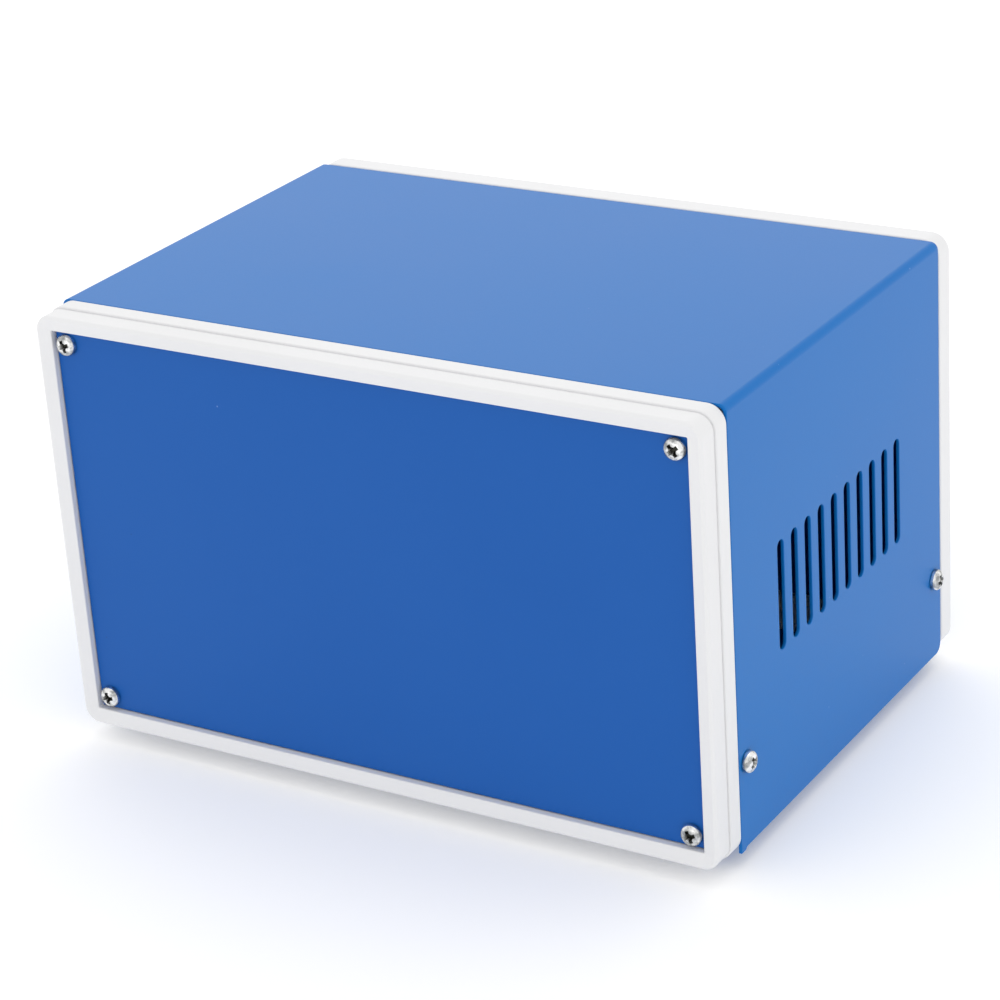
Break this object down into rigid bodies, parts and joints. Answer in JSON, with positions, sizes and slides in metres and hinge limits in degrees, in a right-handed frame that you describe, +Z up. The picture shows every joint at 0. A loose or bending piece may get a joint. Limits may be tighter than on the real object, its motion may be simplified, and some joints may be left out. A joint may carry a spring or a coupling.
{
  "type": "instrument enclosure",
  "caption": "Blank bench instrument case: bent blue sheet cover with vent slots, white moulded end frames, recessed screw-on front and rear panels, tray with rubber feet.",
  "frame": {"origin": "on the surface the case stands on, under the middle of its outer width and depth", "axes": "+X to the right seen from the front, +Y from front to rear, +Z up"},
  "size_m": [0.2046, 0.144, 0.1272],
  "materials": {
    "blue_paint": "satin blue stove enamel on sheet steel",
    "blue_panel": "satin blue enamel on flat sheet",
    "white_moulding": "fine grained white moulded plastic",
    "bright_screw": "bright nickel plated steel",
    "zinc_nut": "zinc plated steel",
    "black_rubber": "matt moulded rubber"
  },
  "bodies": {
    "case": {"top_cover": "blue_paint", "bottom_tray": "blue_paint", "front_frame": "white_moulding", "rear_frame": "white_moulding", "tray_screw_front_left": "bright_screw", "tray_screw_front_right": "bright_screw", "tray_screw_rear_left": "bright_screw", "tray_screw_rear_right": "bright_screw", "foot_front_left": "black_rubber", "foot_front_right": "black_rubber", "foot_rear_left": "black_rubber", "foot_rear_right": "black_rubber", "foot_screw_front_left": "bright_screw", "foot_screw_front_right": "bright_screw", "foot_screw_rear_left": "bright_screw", "foot_screw_rear_right": "bright_screw", "foot_nut_front_left": "zinc_nut", "foot_nut_front_right": "zinc_nut", "foot_nut_rear_left": "zinc_nut", "foot_nut_rear_right": "zinc_nut"},
    "front_panel": {"front_panel": "blue_panel"},
    "rear_panel": {"rear_panel": "blue_panel"},
    "front_screw_top_left": {"front_panel_screw_top_left": "bright_screw"},
    "front_screw_top_right": {"front_panel_screw_top_right": "bright_screw"},
    "front_screw_bottom_left": {"front_panel_screw_bottom_left": "bright_screw"},
    "front_screw_bottom_right": {"front_panel_screw_bottom_right": "bright_screw"},
    "rear_screw_top_left": {"rear_panel_screw_top_left": "bright_screw"},
    "rear_screw_top_right": {"rear_panel_screw_top_right": "bright_screw"},
    "rear_screw_bottom_left": {"rear_panel_screw_bottom_left": "bright_screw"},
    "rear_screw_bottom_right": {"rear_panel_screw_bottom_right": "bright_screw"},
    "cover_screw_left_front": {"cover_screw_left_front": "bright_screw"},
    "cover_screw_left_rear": {"cover_screw_left_rear": "bright_screw"},
    "cover_screw_right_front": {"cover_screw_right_front": "bright_screw"},
    "cover_screw_right_rear": {"cover_screw_right_rear": "bright_screw"}
  },
  "joints": [
    {"name": "front_panel_draw", "type": "slide", "parent": "case", "child": "front_panel", "axis": [0, -1, 0], "range_m": [0, 0.06]},
    {"name": "rear_panel_draw", "type": "slide", "parent": "case", "child": "rear_panel", "axis": [0, 1, 0], "range_m": [0, 0.06]},
    {"name": "front_screw_top_left_draw", "type": "slide", "parent": "front_panel", "child": "front_screw_top_left", "axis": [0, -1, 0], "range_m": [0, 0.012]},
    {"name": "front_screw_top_right_draw", "type": "slide", "parent": "front_panel", "child": "front_screw_top_right", "axis": [0, -1, 0], "range_m": [0, 0.012]},
    {"name": "front_screw_bottom_left_draw", "type": "slide", "parent": "front_panel", "child": "front_screw_bottom_left", "axis": [0, -1, 0], "range_m": [0, 0.012]},
    {"name": "front_screw_bottom_right_draw", "type": "slide", "parent": "front_panel", "child": "front_screw_bottom_right", "axis": [0, -1, 0], "range_m": [0, 0.012]},
    {"name": "rear_screw_top_left_draw", "type": "slide", "parent": "rear_panel", "child": "rear_screw_top_left", "axis": [0, 1, 0], "range_m": [0, 0.012]},
    {"name": "rear_screw_top_right_draw", "type": "slide", "parent": "rear_panel", "child": "rear_screw_top_right", "axis": [0, 1, 0], "range_m": [0, 0.012]},
    {"name": "rear_screw_bottom_left_draw", "type": "slide", "parent": "rear_panel", "child": "rear_screw_bottom_left", "axis": [0, 1, 0], "range_m": [0, 0.012]},
    {"name": "rear_screw_bottom_right_draw", "type": "slide", "parent": "rear_panel", "child": "rear_screw_bottom_right", "axis": [0, 1, 0], "range_m": [0, 0.012]},
    {"name": "cover_screw_left_front_draw", "type": "slide", "parent": "case", "child": "cover_screw_left_front", "axis": [-1, 0, 0], "range_m": [0, 0.012]},
    {"name": "cover_screw_left_rear_draw", "type": "slide", "parent": "case", "child": "cover_screw_left_rear", "axis": [-1, 0, 0], "range_m": [0, 0.012]},
    {"name": "cover_screw_right_front_draw", "type": "slide", "parent": "case", "child": "cover_screw_right_front", "axis": [1, 0, 0], "range_m": [0, 0.012]},
    {"name": "cover_screw_right_rear_draw", "type": "slide", "parent": "case", "child": "cover_screw_right_rear", "axis": [1, 0, 0], "range_m": [0, 0.012]}
  ]
}
